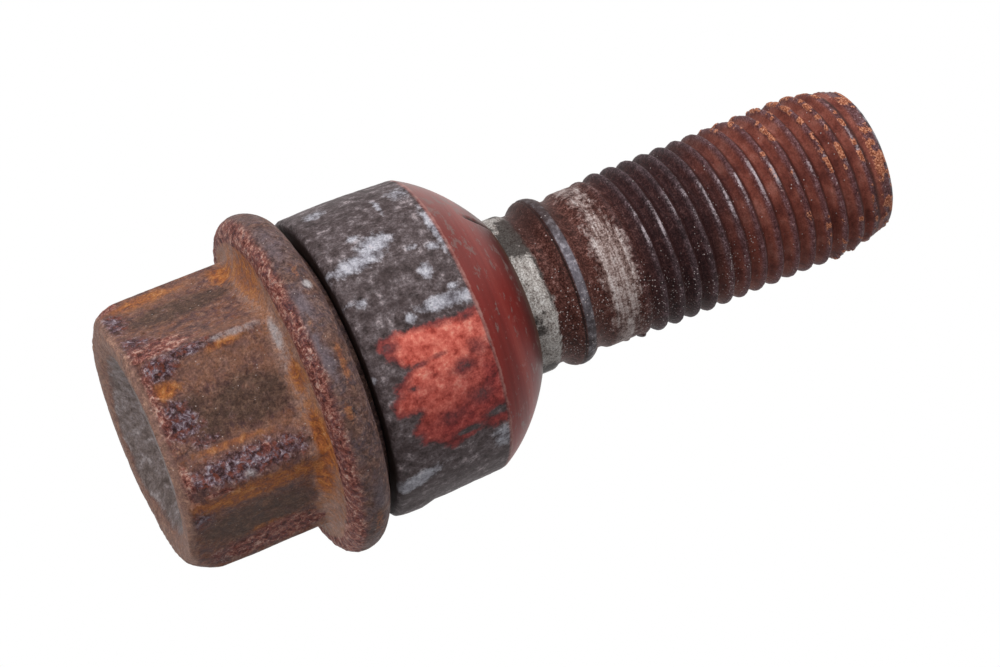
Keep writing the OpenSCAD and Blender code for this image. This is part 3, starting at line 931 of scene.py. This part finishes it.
    relief = add(tree, "ShaderNodeMath", {0: grain, 1: 0.35, 2: blots}, operation="MULTIPLY_ADD")
    pits = add(tree, "ShaderNodeMath", {0: flakes, 1: marks["pitted"]}, operation="MULTIPLY")
    relief = add(tree, "ShaderNodeMath", {0: pits, 1: 1.6, 2: relief}, operation="MULTIPLY_ADD")
    roughness = add(tree, "ShaderNodeMapRange", {
        "Value": blots, "From Min": 0.3, "From Max": 0.7, "To Min": 0.45, "To Max": 0.75})
    finish_steel(tree, colour, roughness, 0.12, relief, 0.9, 0.19)
    return material


def rolled_thread():
    """Rolled and turned steel, part bare and part rusted: worn silvery lands, the second with fine rings
    round it, dark, oiled first turns, red-brown rust towards the tip and crumbs of orange rust that stand on
    the crests. It is darker on the upper side round the bead, and has painted shade on the flanks that face
    the tip, painted glints on the crests, a painted highlight on the bead and a painted shadow in its fold."""
    material, tree, place = start_steel("rolled_steel_worn")
    # Turning marks run round the shank; the real ones are 0.05 mm apart, drawn at 0.3
    around = add(tree, "ShaderNodeMapping", {"Vector": place, "Scale": (0.06, 0.06, 1.0)})
    clouds, blots, grain, rings = [
        add(tree, "ShaderNodeTexNoise", {
            "Vector": where, "Scale": 1 / size, "Detail": detail, "Roughness": roughness})
        for where, size, detail, roughness in (
            (place, 1.8, 3.0, 0.6), (place, 0.6, 4.0, 0.7), (place, 0.14, 2.0, 0.6), (around, 0.3, 3.0, 0.6))]
    mottle = add(tree, "ShaderNodeMix", {0: 0.45, 2: blots, 3: grain}, data_type="FLOAT")
    streaks = add(tree, "ShaderNodeMix", {0: 0.55, 2: rings, 3: mottle}, data_type="FLOAT")
    marks = read_marks(tree, "root", "tip_side_shade", "threaded", "bare", "stain", "ringed", "bead", "redden",
                       "bead_highlight", "fold", "upper_dark_band", "crest_glint", "crumbs", "tip_rim", "sparkle")
    depth = add(tree, "ShaderNodeMapRange", {"Value": marks["root"], "From Min": 0.12, "From Max": 0.55})
    shade_amount, band_darkening = [add(tree, "ShaderNodeMath", {0: marks[key], 1: most}, operation="MULTIPLY")
                 for key, most in (("tip_side_shade", 0.75), ("upper_dark_band", 0.6))]

    tones = lay_coats(tree, {
        "dark_crest": (mottle, [(0.36, "251a1d"), (0.66, "78666b"), (0.47, "3f3032"), (0.55, "534145")]),
        "dark_root": (mottle, [(0.36, "241415"), (0.66, "5a3d3b"), (0.5, "392324")]),
        "red_crest": (mottle, [(0.36, "42262a"), (0.66, "a67c76"), (0.46, "5f3a3a"),
                               (0.53, "6e494a"), (0.59, "785b61")]),
        "red_root": (clouds, [(0.34, "66352e"), (0.66, "a0665a"), (0.45, "7c4339"), (0.55, "8d5145")]),
        "groove": (mottle, [(0.36, "2b1712"), (0.68, "97706a"), (0.47, "492924"), (0.56, "654039")]),
        "bare": (mottle, [(0.34, "463a36"), (0.62, "e8e3df"), (0.43, "9f9691"), (0.52, "c1bab5")]),
        "ringed": (streaks, [(0.39, "503a36"), (0.64, "ddd1ce"), (0.46, "866f69"), (0.53, "b3a19d")]),
        "orange": (grain, [(0.35, "7a3f2d"), (0.66, "d9987a"), (0.5, "ab664b")]),
        "steel": (blots, [(0.36, "2b2324"), (0.62, "b0aab0"), (0.46, "524a4d"), (0.54, "767075")]),
    }, [
        ("crest", "dark_crest", "red_crest", marks["redden"]),
        ("root", "dark_root", "red_root", marks["redden"]),
        ("colour", "crest", "root", depth),
        # Painted shade on the flank of each crest that faces the tip
        ("colour", "colour", "2f1917", shade_amount),
        ("colour", "groove", "colour", marks["threaded"]),
        ("land", "bare", "ringed", marks["ringed"]),
        ("land", "land", "2f2622", ragged(tree, marks["stain"], blots, 2.4, 0.2, 0.9)),
        ("colour", "colour", "land", ragged(tree, marks["bare"], blots, 1.6, 0.25)),
        # Painted highlight on the bead's ring
        ("ring", "453a39", "9a95a1", marks["bead_highlight"]),
        ("ring", "ring", "steel", 0.6),
        ("colour", "colour", "ring", marks["bead"]),
        # Painted shadow in the bead's fold
        ("colour", "colour", "1d1210", marks["fold"]),
        # Darker on the upper side round the bead
        ("colour", "colour", "331d1a", band_darkening),
        # Painted highlight: the glint on the crests
        ("colour", "colour", "c4b7bd", ragged(tree, marks["crest_glint"], grain, 1.0, 0.3, 0.8)),
        ("colour", "colour", "steel", marks["tip_rim"]),
        ("colour", "colour", "orange", ragged(tree, marks["crumbs"], grain, 1.0, 0.15)),
    ])
    colour = add_grain(tree, tones["colour"], grain, 0.45)
    # Painted glints where the sparkle mark lies
    colour = add_sparkle(tree, place, colour, 0.25, marks["sparkle"], "e6d8d6")

    relief = add(tree, "ShaderNodeMix", {0: marks["ringed"], 2: mottle, 3: rings}, data_type="FLOAT")
    relief = add(tree, "ShaderNodeMix", {0: marks["threaded"], 2: relief, 3: mottle}, data_type="FLOAT")
    roughness = add(tree, "ShaderNodeMapRange", {"Value": marks["root"], "To Min": 0.5, "To Max": 0.66})
    finish_steel(tree, colour, roughness, 0.09, relief, 0.5, 0.07)
    return material


def collar_steel():
    """Hardened steel, oiled dark and scuffed, with whitish smears left by rubbing, brushed red paint that has
    gone crinkly and worn on the cylinder, and a smooth satin coat of it on the ball. A highlight is painted
    on the cylinder's paint and a sheen on the upper side of the ball."""
    material, tree, place = start_steel("collar_steel_painted")
    # Scuffs lean along the cylinder, brush marks run round it, and so do the
    # scuffs of the ball
    leaning, brushed, turning = [
        add(tree, "ShaderNodeMapping", {"Vector": place, "Scale": scale, "Rotation": lean})
        for scale, lean in (((1.0, 1.0, 0.3), (0.3, 0.2, 0.0)), ((0.05, 0.05, 1.0), (0.0, 0.0, 0.0)),
                            ((0.45, 0.45, 1.0), (0.0, 0.0, 0.0)))]
    clouds, blots, grain, scuffs, rings, dull = [
        add(tree, "ShaderNodeTexNoise", {
            "Vector": where, "Scale": 1 / size, "Detail": detail, "Roughness": roughness})
        for where, size, detail, roughness in (
            (place, 2.4, 4.0, 0.62), (place, 0.8, 5.0, 0.72), (place, 0.15, 2.0, 0.6),
            (leaning, 0.4, 4.0, 0.7), (brushed, 0.8, 3.0, 0.5), (turning, 0.7, 4.0, 0.72))]
    marks = read_marks(tree, "paint", "smear", "paint_highlight", "sheen_side", "ball", "edge", "inner", "nose_edge",
                       "bore", "notch")
    # The ball's scuffs crowd on its upper side, where its sheen is painted
    dull = add(tree, "ShaderNodeMath", {0: marks["sheen_side"], 1: 0.1, 2: dull}, operation="MULTIPLY_ADD")
    light, stain, thick, chips = [
        add(tree, "ShaderNodeMapRange", {"Value": value, "From Min": low, "From Max": high, "To Max": most})
        for value, low, high, most in (
            (scuffs, 0.54, 0.72, 0.55), (clouds, 0.5, 0.34, 0.6), (marks["paint"], 0.5, 1.0, 1.0),
            (dull, 0.59, 0.64, 0.55))]
    sheen_tint, cover = [add(tree, "ShaderNodeMath", {0: marks[key], 1: most}, operation="MULTIPLY")
                    for key, most in (("sheen_side", 0.42), ("smear", 0.92))]

    tones = lay_coats(tree, {
        "steel": (blots, [(0.32, "312828"), (0.68, "9b9091"), (0.42, "4a3f3f"),
                          (0.5, "5d5152"), (0.57, "716668")]),
        "white": (blots, [(0.36, "85818a"), (0.66, "d2d1da"), (0.5, "a9a7b0")]),
        "paint": (blots, [(0.34, "5a2423"), (0.66, "bf5a55"), (0.44, "7f3433"),
                          (0.5, "953e3c"), (0.56, "a84945")]),
        "highlit_paint": (blots, [(0.34, "a8443a"), (0.66, "ffa892"), (0.43, "cd6053"),
                             (0.5, "de7263"), (0.56, "ea8170")]),
        "satin": (rings, [(0.3, "74241f"), (0.72, "943b33"), (0.5, "832c27")]),
        "deep": (rings, [(0.3, "381614"), (0.7, "4b211f")]),
    }, [
        ("steel", "steel", "8c8082", light),
        ("steel", "steel", "403434", stain),
        ("colour", "steel", "white", ragged(tree, cover, blots, 2.0, 0.3)),
        # Painted highlight: the paint lighter and pinker round the side that faces the camera
        ("coat", "paint", "highlit_paint", ragged(tree, marks["paint_highlight"], clouds, 1.6, 0.6)),
        # The coat thins towards its edge, so that the steel shows through in places
        ("thin", "523a3c", "paint", 0.5),
        ("coat", "thin", "coat", ragged(tree, thick, clouds, 1.8, 0.4)),
        ("colour", "colour", "coat", ragged(tree, marks["paint"], blots, 1.0, 0.1)),
        # Painted sheen on the upper side of the ball
        ("satin", "satin", "a98a86", sheen_tint),
        ("nose", "satin", "deep", marks["inner"]),
        ("nose", "nose", "83736f", chips),
        ("colour", "colour", "nose", marks["ball"]),
        ("colour", "colour", "b98880", ragged(tree, marks["edge"], blots, 2.0, 0.3, 0.7)),
        ("colour", "colour", "4c2d24", marks["nose_edge"]),
        ("colour", "colour", "3a2f2c", marks["bore"]),
        ("colour", "colour", "1c1413", marks["notch"]),
    ])
    coated = add(tree, "ShaderNodeMath", {0: marks["paint"], 1: 0.7, 2: marks["ball"]},
                 operation="MULTIPLY_ADD")
    strength = add(tree, "ShaderNodeMapRange", {"Value": coated, "To Min": 0.5, "To Max": 0.08})
    colour = add_grain(tree, tones["colour"], grain, strength)

    relief = add(tree, "ShaderNodeMath", {0: grain, 1: 0.3, 2: blots}, operation="MULTIPLY_ADD")
    relief = add(tree, "ShaderNodeMix", {0: marks["ball"], 2: relief, 3: rings}, data_type="FLOAT")
    roughness = add(tree, "ShaderNodeMapRange", {"Value": marks["ball"], "To Min": 0.55, "To Max": 0.38})
    finish_steel(tree, colour, roughness, 0.1, relief, 0.5, 0.1)
    return material


# Floor, light, camera
def make_floor():
    """A pale plane under the head. It is seen from above only, because the picture
    is taken from below its level, and it casts no shade on the part."""
    mesh = bpy.data.meshes.new("floor")
    half = 1.5    # of its width, in metres
    corners = [(-half, -half, 0), (half, -half, 0), (half, half, 0), (-half, half, 0)]
    mesh.from_pydata(corners, [], [(0, 1, 2, 3)])
    floor = link_up("floor", mesh)
    floor.location.z = -0.02 * MM
    material = bpy.data.materials.new("pale_floor")
    tree = empty_tree(material)
    below = add(tree, "ShaderNodeNewGeometry", out="Backfacing")
    card = add(tree, "ShaderNodeBsdfDiffuse", {"Color": linear("f4f3f1")})
    clear = add(tree, "ShaderNodeBsdfTransparent")
    surface = add(tree, "ShaderNodeMixShader", {0: below, 1: card, 2: clear})
    add(tree, "ShaderNodeOutputMaterial", {"Surface": surface}, out=None)
    mesh.materials.append(material)
    floor.visible_shadow = False
    floor.visible_diffuse = False
    floor.visible_glossy = False


def make_world():
    """An even white room: white to the camera and in reflections, and a softer
    level for the light that it throws."""
    world = bpy.data.worlds.new("white_room")
    tree = empty_tree(world)
    path = tree.nodes.new("ShaderNodeLightPath").outputs
    seen = path["Is Camera Ray"]
    for ray in ("Is Glossy Ray", "Is Transmission Ray"):
        seen = add(tree, "ShaderNodeMath", {0: seen, 1: path[ray]}, operation="MAXIMUM")
    level = add(tree, "ShaderNodeMapRange", {"Value": seen, "To Min": 0.25, "To Max": 1.0})
    light = add(tree, "ShaderNodeBackground", {"Color": (1.0, 1.0, 1.0, 1.0), "Strength": level})
    add(tree, "ShaderNodeOutputWorld", {"Surface": light}, out=None)
    bpy.context.scene.world = world


def stand(thing, side, up, back, place):
    """Puts a lamp or camera at a place in mm, with its X, Y and Z axes along side,
    up and back."""
    rows = [[side[i], up[i], back[i], place[i] * MM] for i in range(3)]
    thing.matrix_world = Matrix(rows + [[0, 0, 0, 1]])


def make_softbox(name, place, size, watts):
    """A square softbox at this place in mm, turned to the middle of the bolt."""
    data = bpy.data.lights.new(name, "AREA")
    data.shape = "SQUARE"
    data.size = size * MM
    data.energy = watts
    back = np.array(place) - BOLT_MIDDLE
    back = back / np.linalg.norm(back)
    side = np.cross([0, 0, 1.0], back)
    side = side / np.linalg.norm(side)
    stand(link_up(name, data), side, np.cross(back, side), back, place)


def make_camera():
    """The camera of the picture: 258 mm from the axis along a line that climbs by
    CLIMB, and rolled so that the bolt's tip points up to the right by ROLL."""
    climb, roll = math.radians(CLIMB), math.radians(ROLL)
    forward = np.array([0, math.cos(climb), math.sin(climb)])
    along = np.array([0, -math.sin(climb), math.cos(climb)])
    above = np.array([-1.0, 0, 0])
    right = math.cos(roll) * along - math.sin(roll) * above
    up = math.sin(roll) * along + math.cos(roll) * above
    data = bpy.data.cameras.new("camera")
    data.lens = LENS
    data.sensor_width = SENSOR
    data.clip_start = 0.01
    camera = link_up("camera", data)
    stand(camera, right, up, -forward, CAMERA_PLACE)
    bpy.context.scene.camera = camera


# Assembly
LENS, SENSOR = 115.99, 36    # mm
CLIMB, ROLL = 14.765, 22     # degrees
CAMERA_PLACE = (2.316, -249.91, -35.59)
BOLT_MIDDLE = np.array([0, 0, 30.0])
SOFTBOXES = {                # place and size in mm, watts
    "light_above": ((-260, -210, 90), 220, 0.69),
    "light_tip": ((-60, -120, 330), 200, 0.14),
    "light_head": ((-60, -250, -230), 200, 0.44),
}

make_camera()
make_world()
for softbox, (place, size, watts) in SOFTBOXES.items():
    make_softbox(softbox, place, size, watts)
make_floor()

bolt = make_bolt()
bolt.data.materials.append(forged_rusted())
bolt.data.materials.append(rolled_thread())
heights = np.zeros(len(bolt.data.polygons) * 3)
bolt.data.polygons.foreach_get("center", heights)
rolled = heights[2::3] > HIDDEN_Z * MM
bolt.data.polygons.foreach_set("material_index", rolled.astype(np.int32))
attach(bolt, "bolt")
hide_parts("bolt")

collar = make_collar()
collar.data.materials.append(collar_steel())
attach(collar, "seat_collar")
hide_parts("seat_collar")

bpy.context.scene.view_settings.view_transform = "Standard"
